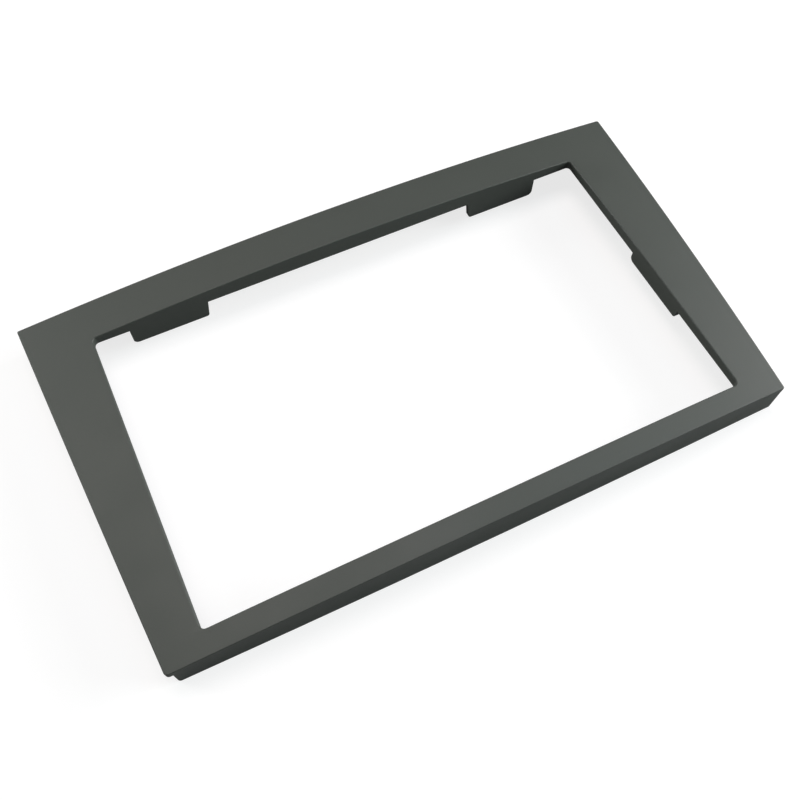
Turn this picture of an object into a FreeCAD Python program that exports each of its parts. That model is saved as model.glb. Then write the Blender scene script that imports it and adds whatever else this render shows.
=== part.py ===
"""Car radio mounting frame: the one-piece trim frame around a double-height car radio.

It is one plastic moulding. A crowned bezel surrounds the opening for the radio. A skirt runs
round the bezel's rim and stands on the dashboard. A shallow collar lines the opening, and three
tabs reach back from it along the radio's body. Thin ribs tie the collar to the skirt behind the
bezel.

Millimetres. +Z is the way the bezel faces, +X is to the right and +Y is up for someone who
looks at it. The origin is the centre of the opening, on the plane of the skirt's rear rim.
"""
import FreeCAD
import Part
import math
import os

from FreeCAD import Vector

# The opening that the radio's front fills
opening_width = 178.0
opening_height = 102.6
opening_corner_radius = 1.5
opening_bow = 0.8           # how far its long edges bow outwards at the crown's height
opening_edge_round = 0.4

# The bezel, by how wide it is beside the opening
top_bar = 14.55
bottom_bar = 7.15
side_bar_at_top = 21.3
side_bar_at_bottom = 13.05
bezel_shift = 0.12          # how far its middle lies to the right of the opening's middle
bezel_bow = 0.7             # how far its top and bottom edges bow outwards
bezel_thickness = 2.4
bezel_edge_round = 0.3

# The bezel's upright corners, which aren't all alike
corner_top_left = 0.5
corner_top_right = 0.8
corner_bottom_left = 1.2
corner_bottom_right = 0.5

# The crown: the bezel's front is part of a large sphere
crown_radius = 1460.0
crown_height = 17.45        # the sphere's top above the rear rim, over the opening's centre

# The skirt, and how far the bezel overhangs it on each side
skirt_wall = 2.0
skirt_inner_radius = 0.8
overhang_left = 1.3
overhang_right = 0.0
overhang_top = 0.3
overhang_bottom_left = 0.45
overhang_bottom_right = 0.05
rim_edge_round = 0.25

# The collar and its tabs
collar_wall = 1.8
collar_depth = 6.85         # from the sphere's top back to the collar's rear edge
tab_width = 27.0
tab_thickness = 1.8
tab_outer_radius = 1.8      # the free corner of a top tab that is nearer to the bezel's end
tab_inner_radius = 1.0
tab_slant = 6.5             # degrees by which a top tab's inner side leans in towards its tip
tab_root = 1.0              # how deep a tab runs into the collar
top_tab_length = 7.4
side_tab_length = 3.6
top_tab_centres = (-63.8, 61.0)
side_tab_centre = -5.3

# The ribs from the collar to the skirt
rib_thickness = 1.2
rib_pitch = 24.0
rib_foot_setback = 4.5      # how far a rib's end at the skirt lies in front of the rear rim
rib_end_clearance = 9.0     # least distance from the last rib to the opening's corner

# Worked out from the above
opening_right = opening_width / 2
opening_top = opening_height / 2
collar_right = opening_right + collar_wall
collar_top = opening_top + collar_wall
bezel_top = opening_top + top_bar
bezel_bottom = -opening_top - bottom_bar
half_width_at_top = opening_right + side_bar_at_top
half_width_at_bottom = opening_right + side_bar_at_bottom
crown_centre = Vector(0, 0, crown_height - crown_radius)
collar_rear = crown_height - collar_depth

# Working room around the part, and the error allowed when a place is recognised
reach = half_width_at_top + half_width_at_bottom
above = crown_height + 2.0
below = -5.0
tolerance = 0.01


def bezel_half_width(y):
    """The bezel's half width at a height y, along its slanted side."""
    share = (y - bezel_bottom) / (bezel_top - bezel_bottom)
    return half_width_at_bottom + share * (half_width_at_top - half_width_at_bottom)


def bowed_edge(start, end, bow):
    """An edge from start to end that bulges by bow to the right of that direction."""
    if bow == 0:
        return Part.makeLine(start, end)
    along = end - start
    sideways = Vector(along.y, -along.x, 0).normalize()
    middle = (start + end) * 0.5 + sideways * bow
    return Part.Arc(start, middle, end).toShape()


def four_sided_wire(left_top, right_top, right_bottom, left_bottom, bow):
    """A closed outline with straight sides, whose top and bottom edges bow outwards."""
    top = bowed_edge(right_top, left_top, bow)
    left = Part.makeLine(left_top, left_bottom)
    bottom = bowed_edge(left_bottom, right_bottom, bow)
    right = Part.makeLine(right_bottom, right_top)
    return Part.Wire([top, left, bottom, right])


def bezel_wire(z):
    """The bezel's outline at a height z."""
    return four_sided_wire(
        Vector(bezel_shift - half_width_at_top, bezel_top, z),
        Vector(bezel_shift + half_width_at_top, bezel_top, z),
        Vector(bezel_shift + half_width_at_bottom, bezel_bottom, z),
        Vector(bezel_shift - half_width_at_bottom, bezel_bottom, z),
        bezel_bow,
    )


def skirt_wire(z, inset):
    """The skirt's outline at a height z, brought in by inset all round for its inner face."""
    left = overhang_left + inset
    right = overhang_right + inset
    high = bezel_top - overhang_top - inset
    low_left = bezel_bottom + overhang_bottom_left + inset
    low_right = bezel_bottom + overhang_bottom_right + inset
    return four_sided_wire(
        Vector(bezel_shift - bezel_half_width(high) + left, high, z),
        Vector(bezel_shift + bezel_half_width(high) - right, high, z),
        Vector(bezel_shift + bezel_half_width(low_right) - right, low_right, z),
        Vector(bezel_shift - bezel_half_width(low_left) + left, low_left, z),
        bezel_bow,
    )


def opening_wire(z, bow):
    """The opening's outline at a height z, with its long edges bowed outwards."""
    x = opening_right
    y = opening_top
    return four_sided_wire(Vector(-x, y, z), Vector(x, y, z), Vector(x, -y, z), Vector(-x, -y, z), bow)


def upright_edges(shape):
    """The straight edges of a shape that run along Z: a prism's corners."""
    found = []
    for edge in shape.Edges:
        span = edge.Vertexes[-1].Point - edge.Vertexes[0].Point
        if abs(span.z) > tolerance and math.hypot(span.x, span.y) < tolerance:
            found.append(edge)
    return found


def prism(wire, height, corner_radius):
    """A wire drawn along Z by a height, with its four corners rounded."""
    block = Part.Face(wire).extrude(Vector(0, 0, height))
    return block.makeFillet(corner_radius, upright_edges(block))


def bezel_prism(wire):
    """The bezel's or skirt's outline drawn along Z, each corner rounded by its own radius."""
    block = Part.Face(wire).extrude(Vector(0, 0, above))
    rounds = [
        (-1, 1, corner_top_left),
        (1, 1, corner_top_right),
        (-1, -1, corner_bottom_left),
        (1, -1, corner_bottom_right),
    ]
    for right, top, radius in rounds:
        upright = [(edge, edge.CenterOfMass) for edge in upright_edges(block)]
        corner = [edge for edge, middle in upright if middle.x * right > 0 and middle.y * top > 0]
        block = block.makeFillet(radius, corner)
    return block


def under_crown(depth):
    """A large block that holds everything more than depth behind the crowned front.

    A section in the XZ plane is turned about the sphere's centre, which keeps the sphere's
    seam and poles away from the part.
    """
    radius = crown_radius - depth
    half_angle = math.asin(reach / radius)
    rise = radius * math.cos(half_angle)
    floor = crown_radius - crown_height + below - reach * math.sin(half_angle)
    left = crown_centre + Vector(-reach, 0, rise)
    right = crown_centre + Vector(reach, 0, rise)
    low_left = crown_centre + Vector(-reach, 0, floor)
    low_right = crown_centre + Vector(reach, 0, floor)
    arc = Part.Arc(left, crown_centre + Vector(0, 0, radius), right).toShape()
    sides = Part.makePolygon([right, low_right, low_left, left])
    section = Part.Face(Part.Wire([arc] + sides.Edges))
    angle = math.degrees(half_angle)
    section.rotate(crown_centre, Vector(1, 0, 0), -angle)
    return section.revolve(crown_centre, Vector(1, 0, 0), 2 * angle)


def radio_opening():
    """The space that the opening takes out: straight at the back, bowed towards the front."""
    bow_above = opening_bow * (above - collar_rear) / collar_depth
    rear = opening_wire(collar_rear, 0.0)
    flare = Part.makeLoft([rear, opening_wire(above, bow_above)], True, True)
    flare = flare.makeFillet(opening_corner_radius, upright_edges(flare))
    behind = prism(rear, below - collar_rear, opening_corner_radius)
    return flare.fuse(behind)


def front_edges(block):
    """The edges of the crowned front: those of its rim, and those of the opening."""
    rim, opening = [], []
    for edge in block.Edges:
        middle = edge.valueAt((edge.FirstParameter + edge.LastParameter) / 2)
        points = [middle] + [vertex.Point for vertex in edge.Vertexes]
        if any(abs((point - crown_centre).Length - crown_radius) > tolerance for point in points):
            continue
        if abs(middle.x) < collar_right and abs(middle.y) < collar_top:
            opening.append(edge)
        else:
            rim.append(edge)
    return rim, opening


def bezel_blank():
    """The solid under the crowned front, with the opening cut and the front edges rounded."""
    block = bezel_prism(bezel_wire(0.0))
    block = block.common(under_crown(0.0)).cut(radio_opening())
    rim, _ = front_edges(block)
    block = block.makeFillet(bezel_edge_round, rim)
    _, opening = front_edges(block)
    return block.makeFillet(opening_edge_round, opening)


def around_skirt():
    """What is cut away outside the skirt, behind the bezel that overhangs it."""
    skirt = bezel_prism(skirt_wire(0.0, 0.0))
    rear = [edge for edge in skirt.Edges if all(abs(vertex.Z) < tolerance for vertex in edge.Vertexes)]
    skirt = skirt.makeFillet(rim_edge_round, rear)
    return under_crown(bezel_thickness).cut(skirt)


def tab(length, slant):
    """A tab with rounded free corners, whose face towards the radio is on y = 0.

    Its outer side, at -X, is square to the collar, and its inner side leans in by slant degrees.
    """
    side = tab_width / 2
    tip = side - length * math.tan(math.radians(slant))
    corners = [
        Vector(-side, 0, tab_root),
        Vector(-side, 0, -length),
        Vector(tip, 0, -length),
        Vector(side, 0, 0),
        Vector(side, 0, tab_root),
    ]
    plate = Part.Face(Part.makePolygon(corners + corners[:1])).extrude(Vector(0, tab_thickness, 0))
    for x, radius in ((-side, tab_outer_radius), (tip, tab_inner_radius)):
        middle = Vector(x, tab_thickness / 2, -length)
        free = [edge for edge in plate.Edges if (edge.CenterOfMass - middle).Length < tolerance]
        plate = plate.makeFillet(radius, free)
    return plate


def tabs():
    """The three tabs in their places behind the collar."""
    left = tab(top_tab_length, tab_slant)
    right = left.mirror(Vector(0, 0, 0), Vector(1, 0, 0))
    placed = []
    for piece, x in zip((left, right), top_tab_centres):
        piece.translate(Vector(x, opening_top, collar_rear))
        placed.append(piece)
    piece = tab(side_tab_length, 0.0)
    piece.rotate(Vector(0, 0, 0), Vector(0, 0, 1), -90)
    piece.translate(Vector(opening_right, side_tab_centre, collar_rear))
    placed.append(piece)
    return placed


def collar():
    """The block whose rim becomes the collar once the opening is cut through it."""
    corner = Vector(-collar_right, -collar_top, collar_rear)
    block = Part.makeBox(2 * collar_right, 2 * collar_top, above - collar_rear, corner)
    return block.makeFillet(opening_corner_radius + collar_wall, upright_edges(block))


def rib(start, end):
    """A thin gusset from the collar at start to the skirt at end, both given on z = 0."""
    across = (end - start).cross(Vector(0, 0, 1)).normalize() * rib_thickness
    corners = [
        start + Vector(0, 0, collar_rear),
        end + Vector(0, 0, rib_foot_setback),
        end + Vector(0, 0, above),
        start + Vector(0, 0, above),
    ]
    profile = Part.Face(Part.makePolygon(corners + corners[:1]))
    profile.translate(across * -0.5)
    return profile.extrude(across)


def rib_places(half_length):
    """Evenly pitched places along a bar of the bezel, on both sides of its middle."""
    count = max(0, int((half_length - rib_end_clearance) / rib_pitch))
    return [step * rib_pitch for step in range(-count, count + 1)]


def ribs():
    """The ribs behind the four bars of the bezel."""
    made = []
    for x in rib_places(opening_right):
        made.append(rib(Vector(x, opening_top, 0), Vector(x, bezel_top + bezel_bow, 0)))
        made.append(rib(Vector(x, -opening_top, 0), Vector(x, bezel_bottom - bezel_bow, 0)))
    for y in rib_places(opening_top):
        made.append(rib(Vector(opening_right, y, 0), Vector(bezel_half_width(y), y, 0)))
        made.append(rib(Vector(-opening_right, y, 0), Vector(-bezel_half_width(y), y, 0)))
    return made


def hollow():
    """The space inside the skirt, around the collar, its tabs and the ribs."""
    space = prism(skirt_wire(below, skirt_wall), above - below, skirt_inner_radius)
    space = space.common(under_crown(bezel_thickness))
    return space.cut([collar()] + tabs() + ribs())


def mounting_frame():
    """The whole moulding."""
    return bezel_blank().cut(around_skirt()).cut(hollow()).removeSplitter()


os.makedirs("parts", exist_ok=True)
moulding = mounting_frame()
moulding.exportStep("parts/mounting_frame.step")
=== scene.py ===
"""Dressed scene of a car radio mounting frame: one dark moulding that lies face up.

The frame is a single piece of moulded ABS. The side that shows has a fine eroded grain and a
satin look, and the side that the dashboard hides is as smooth as the mould's core. It lies on a
white studio floor under soft boxes, seen from its lower left.

Metres, in the part's own frame: +Z is the way the bezel faces, +X is to the right and +Y is up
for someone who looks at it, and Z = 0 is the plane that the skirt's rim rests on.
"""
import logging
import math
from dataclasses import dataclass, field
from enum import Enum

import bpy
from mathutils import Euler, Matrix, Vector


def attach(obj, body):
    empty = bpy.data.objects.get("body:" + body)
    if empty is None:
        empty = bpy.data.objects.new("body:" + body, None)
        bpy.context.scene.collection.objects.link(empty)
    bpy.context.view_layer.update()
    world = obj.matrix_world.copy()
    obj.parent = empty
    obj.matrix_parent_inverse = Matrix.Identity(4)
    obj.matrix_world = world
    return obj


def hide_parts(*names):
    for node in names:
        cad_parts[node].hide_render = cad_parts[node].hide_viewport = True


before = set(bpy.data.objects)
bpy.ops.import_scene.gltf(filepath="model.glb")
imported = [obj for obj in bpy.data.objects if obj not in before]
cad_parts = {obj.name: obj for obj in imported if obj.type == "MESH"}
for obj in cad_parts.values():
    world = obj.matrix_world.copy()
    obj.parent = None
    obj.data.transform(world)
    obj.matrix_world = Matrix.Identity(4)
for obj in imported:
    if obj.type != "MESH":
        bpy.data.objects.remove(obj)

LOG = logging.getLogger("mounting_frame_scene")

MM = 0.001
NODE_NAME = "mounting_frame"
BODY_NAME = "root"


def linear_colour(srgb_hex: str) -> tuple[float, float, float, float]:
    """Turns an sRGB hex colour into the linear colour that a socket takes.

    Args:
        srgb_hex: Six hex digits after a hash, such as "#373c37".

    Returns:
        Linear red, green and blue from 0 to 1, and an alpha of 1.
    """
    parts = []
    for start in (1, 3, 5):
        value = int(srgb_hex[start:start + 2], 16) / 255
        parts.append(value / 12.92 if value <= 0.04045 else ((value + 0.055) / 1.055) ** 2.4)
    return (parts[0], parts[1], parts[2], 1.0)


def add_node(tree: bpy.types.NodeTree, kind: str, settings: dict | None = None,
             links: dict | None = None) -> bpy.types.Node:
    """Adds a node with its settings and the links into it.

    Args:
        tree: The material's or world's node tree.
        kind: The node's type, such as "ShaderNodeBump".
        settings: Values by name: an input socket's where the node has one so named, and
            otherwise the node's own property.
        links: Output sockets by the name or number of the input that each feeds.

    Returns:
        The new node.
    """
    node = tree.nodes.new(kind)
    for name, value in (settings or {}).items():
        if isinstance(name, int) or name in node.inputs:
            node.inputs[name].default_value = value
        else:
            setattr(node, name, value)
    for name, socket in (links or {}).items():
        tree.links.new(socket, node.inputs[name])
    return node


def empty_material(name: str) -> bpy.types.Material:
    """Makes a material whose node tree is empty."""
    material = bpy.data.materials.new(name)
    material.use_nodes = True
    material.node_tree.nodes.clear()
    return material


def white_when_seen(tree: bpy.types.NodeTree,
                    mirrored: bpy.types.NodeSocket) -> bpy.types.NodeSocket:
    """Gives how white a background shows to each ray, without lighting anything by it.

    Args:
        tree: The node tree of the background's material or of the world.
        mirrored: How much of the white shows in a reflection, from 0 to 1.

    Returns:
        A socket that is 1 for camera and transmission rays, mirrored for glossy rays and 0 for
        all others.
    """
    rays = add_node(tree, "ShaderNodeLightPath").outputs
    straight = add_node(
        tree, "ShaderNodeMath", {"operation": "MAXIMUM"},
        {0: rays["Is Camera Ray"], 1: rays["Is Transmission Ray"]},
    )
    reflected = add_node(
        tree, "ShaderNodeMath", {"operation": "MULTIPLY"}, {0: rays["Is Glossy Ray"], 1: mirrored}
    )
    seen = add_node(
        tree, "ShaderNodeMath", {"operation": "MAXIMUM"},
        {0: straight.outputs["Value"], 1: reflected.outputs["Value"]},
    )
    return seen.outputs["Value"]


def select_only(piece: bpy.types.Object) -> None:
    """Makes one object the only selected one, and the active one."""
    bpy.ops.object.select_all(action="DESELECT")
    piece.select_set(True)
    bpy.context.view_layer.objects.active = piece


class MouldSide(Enum):
    """The half of the mould that formed a face, as the number of its material slot."""

    CAVITY = 0
    CORE = 1


@dataclass(frozen=True)
class ErodedGrainAbs:
    """Mass-coloured ABS from a spark-eroded cavity: the moulding's side that shows.

    To the eye it is a dark greenish grey with a soft sheen and no sharp reflection. The grain
    is a close field of tiny pits, which only shows near by, as a slight sparkle.
    """

    name: str = "eroded_grain_abs"
    colour: str = "#373c37"
    pale_colour: str = "#3b403b"
    ior: float = 1.53
    roughness: tuple[float, float] = (0.53, 0.58)
    grain_mm: float = 0.42      # real pits are about 0.15 mm wide, drawn coarser so that they show
    grain_depth_mm: float = 0.006
    pit_weight: float = 0.5     # how deep the pits are against the grit between them
    pit_softness: float = 0.6
    mottle_mm: float = 16.0     # slow changes of gloss where the melt cooled unevenly
    mottle_range: tuple[float, float] = (0.35, 0.65)    # the noise that spans the roughness

    def material(self) -> bpy.types.Material:
        """Makes the material."""
        material = empty_material(self.name)
        tree = material.node_tree
        place = add_node(tree, "ShaderNodeTexCoord").outputs["Object"]
        pits = add_node(
            tree, "ShaderNodeTexVoronoi",
            {"feature": "SMOOTH_F1", "Scale": 1 / (self.grain_mm * MM),
             "Smoothness": self.pit_softness},
            {"Vector": place},
        )
        grit = add_node(
            tree, "ShaderNodeTexNoise",
            {"Scale": 1 / (self.grain_mm * MM), "Detail": 2.0, "Roughness": 0.6},
            {"Vector": place},
        )
        mottle = add_node(
            tree, "ShaderNodeTexNoise",
            {"Scale": 1 / (self.mottle_mm * MM), "Detail": 1.0, "Roughness": 0.5},
            {"Vector": place},
        )
        height = add_node(
            tree, "ShaderNodeMath", {"operation": "MULTIPLY_ADD", 1: self.pit_weight},
            {0: pits.outputs["Distance"], 2: grit.outputs["Fac"]},
        )
        bump = add_node(
            tree, "ShaderNodeBump", {"Strength": 1.0, "Distance": self.grain_depth_mm * MM},
            {"Height": height.outputs["Value"]},
        )
        gloss = add_node(
            tree, "ShaderNodeMapRange",
            {"From Min": self.mottle_range[0], "From Max": self.mottle_range[1],
             "To Min": self.roughness[0], "To Max": self.roughness[1]},
            {"Value": mottle.outputs["Fac"]},
        )
        tint = add_node(
            tree, "ShaderNodeMix",
            {"data_type": "RGBA", 6: linear_colour(self.colour), 7: linear_colour(self.pale_colour)},
            {0: grit.outputs["Fac"]},
        )
        surface = add_node(
            tree, "ShaderNodeBsdfPrincipled", {"IOR": self.ior},
            {"Base Color": tint.outputs[2], "Roughness": gloss.outputs["Result"],
             "Normal": bump.outputs["Normal"]},
        )
        add_node(tree, "ShaderNodeOutputMaterial", links={"Surface": surface.outputs["BSDF"]})
        return material


@dataclass(frozen=True)
class PolishedCoreAbs:
    """The same ABS off the mould's core, which is only stoned smooth: the hidden side.

    To the eye it is a little darker and glossier than the grained side, with the faint straight
    lines of the stone along the mould.
    """

    name: str = "polished_core_abs"
    colour: str = "#2f322f"
    ior: float = 1.53
    roughness: tuple[float, float] = (0.34, 0.44)
    stone_line_mm: float = 0.5
    stone_depth_mm: float = 0.002
    stretch: float = 12.0       # how much longer a stone line is than it is wide
    line_range: tuple[float, float] = (0.3, 0.7)        # the noise that spans the roughness

    def material(self) -> bpy.types.Material:
        """Makes the material."""
        material = empty_material(self.name)
        tree = material.node_tree
        place = add_node(tree, "ShaderNodeTexCoord").outputs["Object"]
        along = add_node(
            tree, "ShaderNodeMapping", {"Scale": (1 / self.stretch, 1.0, 1.0)}, {"Vector": place}
        )
        lines = add_node(
            tree, "ShaderNodeTexNoise",
            {"Scale": 1 / (self.stone_line_mm * MM), "Detail": 2.0, "Roughness": 0.5},
            {"Vector": along.outputs["Vector"]},
        )
        bump = add_node(
            tree, "ShaderNodeBump", {"Strength": 1.0, "Distance": self.stone_depth_mm * MM},
            {"Height": lines.outputs["Fac"]},
        )
        gloss = add_node(
            tree, "ShaderNodeMapRange",
            {"From Min": self.line_range[0], "From Max": self.line_range[1],
             "To Min": self.roughness[0], "To Max": self.roughness[1]},
            {"Value": lines.outputs["Fac"]},
        )
        surface = add_node(
            tree, "ShaderNodeBsdfPrincipled",
            {"IOR": self.ior, "Base Color": linear_colour(self.colour)},
            {"Roughness": gloss.outputs["Result"], "Normal": bump.outputs["Normal"]},
        )
        add_node(tree, "ShaderNodeOutputMaterial", links={"Surface": surface.outputs["BSDF"]})
        return material


@dataclass(frozen=True)
class StudioPaper:
    """Seamless paper that glows white when seen: only the moulding's soft shadow marks it."""

    name: str = "studio_paper"
    colour: str = "#8e8e8e"
    glow: float = 0.78          # what lifts the paper to white where no shadow falls
    lit_within: float = 0.4     # metres from the moulding where the lamps begin to fade
    dark_beyond: float = 1.2    # and where only the glow is left
    mirrored_share: float = 0.12                        # of the glow, in a reflection of the paper

    def material(self) -> bpy.types.Material:
        """Makes the material."""
        material = empty_material(self.name)
        tree = material.node_tree
        mirrored = add_node(tree, "ShaderNodeValue")
        mirrored.outputs["Value"].default_value = self.mirrored_share
        place = add_node(tree, "ShaderNodeTexCoord").outputs["Object"]
        distance = add_node(tree, "ShaderNodeVectorMath", {"operation": "LENGTH"}, {0: place})
        level = add_node(
            tree, "ShaderNodeMapRange",
            {"From Min": self.lit_within, "From Max": self.dark_beyond,
             "To Min": self.glow, "To Max": 1.0},
            {"Value": distance.outputs["Value"]},
        )
        glow = add_node(
            tree, "ShaderNodeMath", {"operation": "MULTIPLY"},
            {0: white_when_seen(tree, mirrored.outputs["Value"]), 1: level.outputs["Result"]},
        )
        paper = add_node(tree, "ShaderNodeBsdfDiffuse", {"Color": linear_colour(self.colour)})
        light = add_node(tree, "ShaderNodeEmission", links={"Strength": glow.outputs["Value"]})
        both = add_node(
            tree, "ShaderNodeAddShader", links={0: paper.outputs["BSDF"], 1: light.outputs["Emission"]}
        )
        add_node(tree, "ShaderNodeOutputMaterial", links={"Surface": both.outputs["Shader"]})
        return material


@dataclass
class Moulding:
    """The frame's single moulding, with smooth faces and a finish on each side."""

    node: bpy.types.Object
    merge_distance: float = 0.001 * MM
    smooth_angle: float = math.radians(30)
    draw_clearance: float = 1.5 * MM    # more than the bezel overhangs, less than the channel's width

    def surface(self) -> bpy.types.Object:
        """Copies the solid's mesh and joins its loose triangles to one skin."""
        piece = self.node.copy()
        piece.data = self.node.data.copy()
        piece.name = "moulding"
        piece.parent = None
        for key in list(piece.keys()):
            del piece[key]
        bpy.context.scene.collection.objects.link(piece)
        select_only(piece)
        if piece.data.has_custom_normals:
            bpy.ops.mesh.customdata_custom_splitnormals_clear()
        bpy.ops.object.mode_set(mode="EDIT")
        bpy.ops.mesh.select_all(action="SELECT")
        bpy.ops.mesh.remove_doubles(threshold=self.merge_distance)
        bpy.ops.object.mode_set(mode="OBJECT")
        return piece

    def smooth(self, piece: bpy.types.Object) -> None:
        """Shades curved faces smooth, and keeps the flat ones flat up to their roundings."""
        select_only(piece)
        bpy.ops.object.shade_smooth_by_angle(angle=self.smooth_angle)
        weighted = piece.modifiers.new("flat_faces_lead", "WEIGHTED_NORMAL")
        weighted.mode = "FACE_AREA"
        weighted.keep_sharp = True
        bpy.ops.object.modifier_apply(modifier=weighted.name)

    def side_of(self, piece: bpy.types.Object, face: bpy.types.MeshPolygon) -> MouldSide:
        """Tells which half of the mould formed a face.

        Args:
            piece: The moulding.
            face: One of its faces.

        Returns:
            The core, if some of the moulding lies in front of the space beside the face, so
            that the cavity, which draws off to the front, couldn't have reached it.
        """
        beside = face.center + face.normal * self.draw_clearance
        covered, *_ = piece.ray_cast(beside, Vector((0.0, 0.0, 1.0)))
        return MouldSide.CORE if covered else MouldSide.CAVITY

    def build(self) -> bpy.types.Object:
        """Makes the dressed moulding and puts it in the solid's place."""
        piece = self.surface()
        self.smooth(piece)
        piece.data.materials.clear()
        piece.data.materials.append(ErodedGrainAbs().material())
        piece.data.materials.append(PolishedCoreAbs().material())
        for face in piece.data.polygons:
            face.material_index = self.side_of(piece, face).value
        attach(piece, BODY_NAME)
        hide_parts(NODE_NAME)
        return piece


@dataclass(frozen=True)
class SoftBox:
    """A square soft box that faces the moulding from a direction, all of them equally far."""

    name: str
    azimuth_deg: float          # 0 is to the right of the moulding and 90 is above it
    elevation_deg: float
    radiance: float             # 1 shows as white
    colour: tuple[float, float, float] = (1.0, 1.0, 1.0)
    side: float = 0.5
    distance: float = 1.1

    def build(self) -> None:
        """Hangs the lamp in its place."""
        lamp = bpy.data.lights.new(self.name, "AREA")
        lamp.shape = "SQUARE"
        lamp.size = self.side
        lamp.color = self.colour
        lamp.energy = self.radiance * math.pi * self.side ** 2
        azimuth = math.radians(self.azimuth_deg)
        elevation = math.radians(self.elevation_deg)
        level = math.cos(elevation) * self.distance
        place = Vector((level * math.cos(azimuth), level * math.sin(azimuth),
                        math.sin(elevation) * self.distance))
        box = bpy.data.objects.new(self.name, lamp)
        box.location = place
        box.rotation_euler = (-place).to_track_quat("-Z", "Y").to_euler()
        bpy.context.scene.collection.objects.link(box)


@dataclass
class Studio:
    """White floor, low white screens round it and soft boxes in a dark room."""

    floor_width: float = 12.0
    screen_top_deg: tuple[float, float] = (8.0, 20.0)   # the screens fade out in between
    soft_boxes: list[SoftBox] = field(default_factory=lambda: [
        SoftBox("front_right_box", -22, 22, 10.7, (0.93, 1.03, 1.02)),
        SoftBox("right_box", 0, 15, 13.6, (1.05, 0.97, 0.98)),
        SoftBox("high_right_box", 0, 65, 1.3, (0.70, 1.05, 1.20)),
        SoftBox("top_box", 90, 75, 5.4, (1.08, 0.95, 0.97)),
        SoftBox("high_left_box", 135, 65, 2.0, (1.00, 1.05, 0.93)),
        SoftBox("back_left_box", 135, 15, 9.4, (0.98, 1.00, 0.99)),
    ])

    def floor(self) -> None:
        """Lays the paper that the moulding rests on."""
        bpy.ops.mesh.primitive_plane_add(size=self.floor_width)
        paper = bpy.context.active_object
        paper.name = "studio_floor"
        paper.data.materials.append(StudioPaper().material())

    def room(self) -> None:
        """Shows white behind the moulding, and white screens low down in its reflections."""
        world = bpy.data.worlds.new("white_screens")
        world.use_nodes = True
        tree = world.node_tree
        tree.nodes.clear()
        direction = add_node(tree, "ShaderNodeTexCoord").outputs["Generated"]
        height = add_node(tree, "ShaderNodeSeparateXYZ", links={"Vector": direction})
        low, high = (math.sin(math.radians(angle)) for angle in self.screen_top_deg)
        screens = add_node(
            tree, "ShaderNodeMapRange",
            {"From Min": low, "From Max": high, "To Min": 1.0, "To Max": 0.0},
            {"Value": height.outputs["Z"]},
        )
        white = white_when_seen(tree, screens.outputs["Result"])
        light = add_node(
            tree, "ShaderNodeBackground", {"Color": (1.0, 1.0, 1.0, 1.0)}, {"Strength": white}
        )
        add_node(tree, "ShaderNodeOutputWorld", links={"Surface": light.outputs["Background"]})
        bpy.context.scene.world = world

    def build(self) -> None:
        """Sets up the floor, the room and the lamps."""
        self.floor()
        self.room()
        for box in self.soft_boxes:
            box.build()


@dataclass(frozen=True)
class PhotoCamera:
    """The camera that took the photograph, found from the straight edges of the frame."""

    place: tuple[float, float, float] = (-0.06847, -0.12497, 0.25327)
    turn_deg: tuple[float, float, float] = (28.189, -0.773, -25.829)
    focal_mm: float = 39.54
    sensor_mm: float = 36.0
    sees_from: float = 0.01
    sees_to: float = 50.0

    def build(self) -> bpy.types.Object:
        """Sets the camera up and makes it the scene's own."""
        lens = bpy.data.cameras.new("photo_camera")
        lens.lens = self.focal_mm
        lens.sensor_width = self.sensor_mm
        lens.clip_start = self.sees_from
        lens.clip_end = self.sees_to
        camera = bpy.data.objects.new("photo_camera", lens)
        camera.location = self.place
        camera.rotation_euler = Euler([math.radians(angle) for angle in self.turn_deg])
        bpy.context.scene.collection.objects.link(camera)
        bpy.context.scene.camera = camera
        return camera


def main() -> None:
    """Builds the dressed moulding, the studio and the camera."""
    logging.basicConfig(level=logging.INFO, format="%(name)s: %(message)s")
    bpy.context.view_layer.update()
    piece = Moulding(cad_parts[NODE_NAME]).build()
    LOG.info("%s: %d faces", piece.name, len(piece.data.polygons))
    Studio().build()
    LOG.info("studio: floor, room and soft boxes")
    camera = PhotoCamera().build()
    LOG.info("%s: %.2f mm lens", camera.name, camera.data.lens)
    bpy.context.scene.view_settings.view_transform = "Standard"


if __name__ == "__main__":
    main()
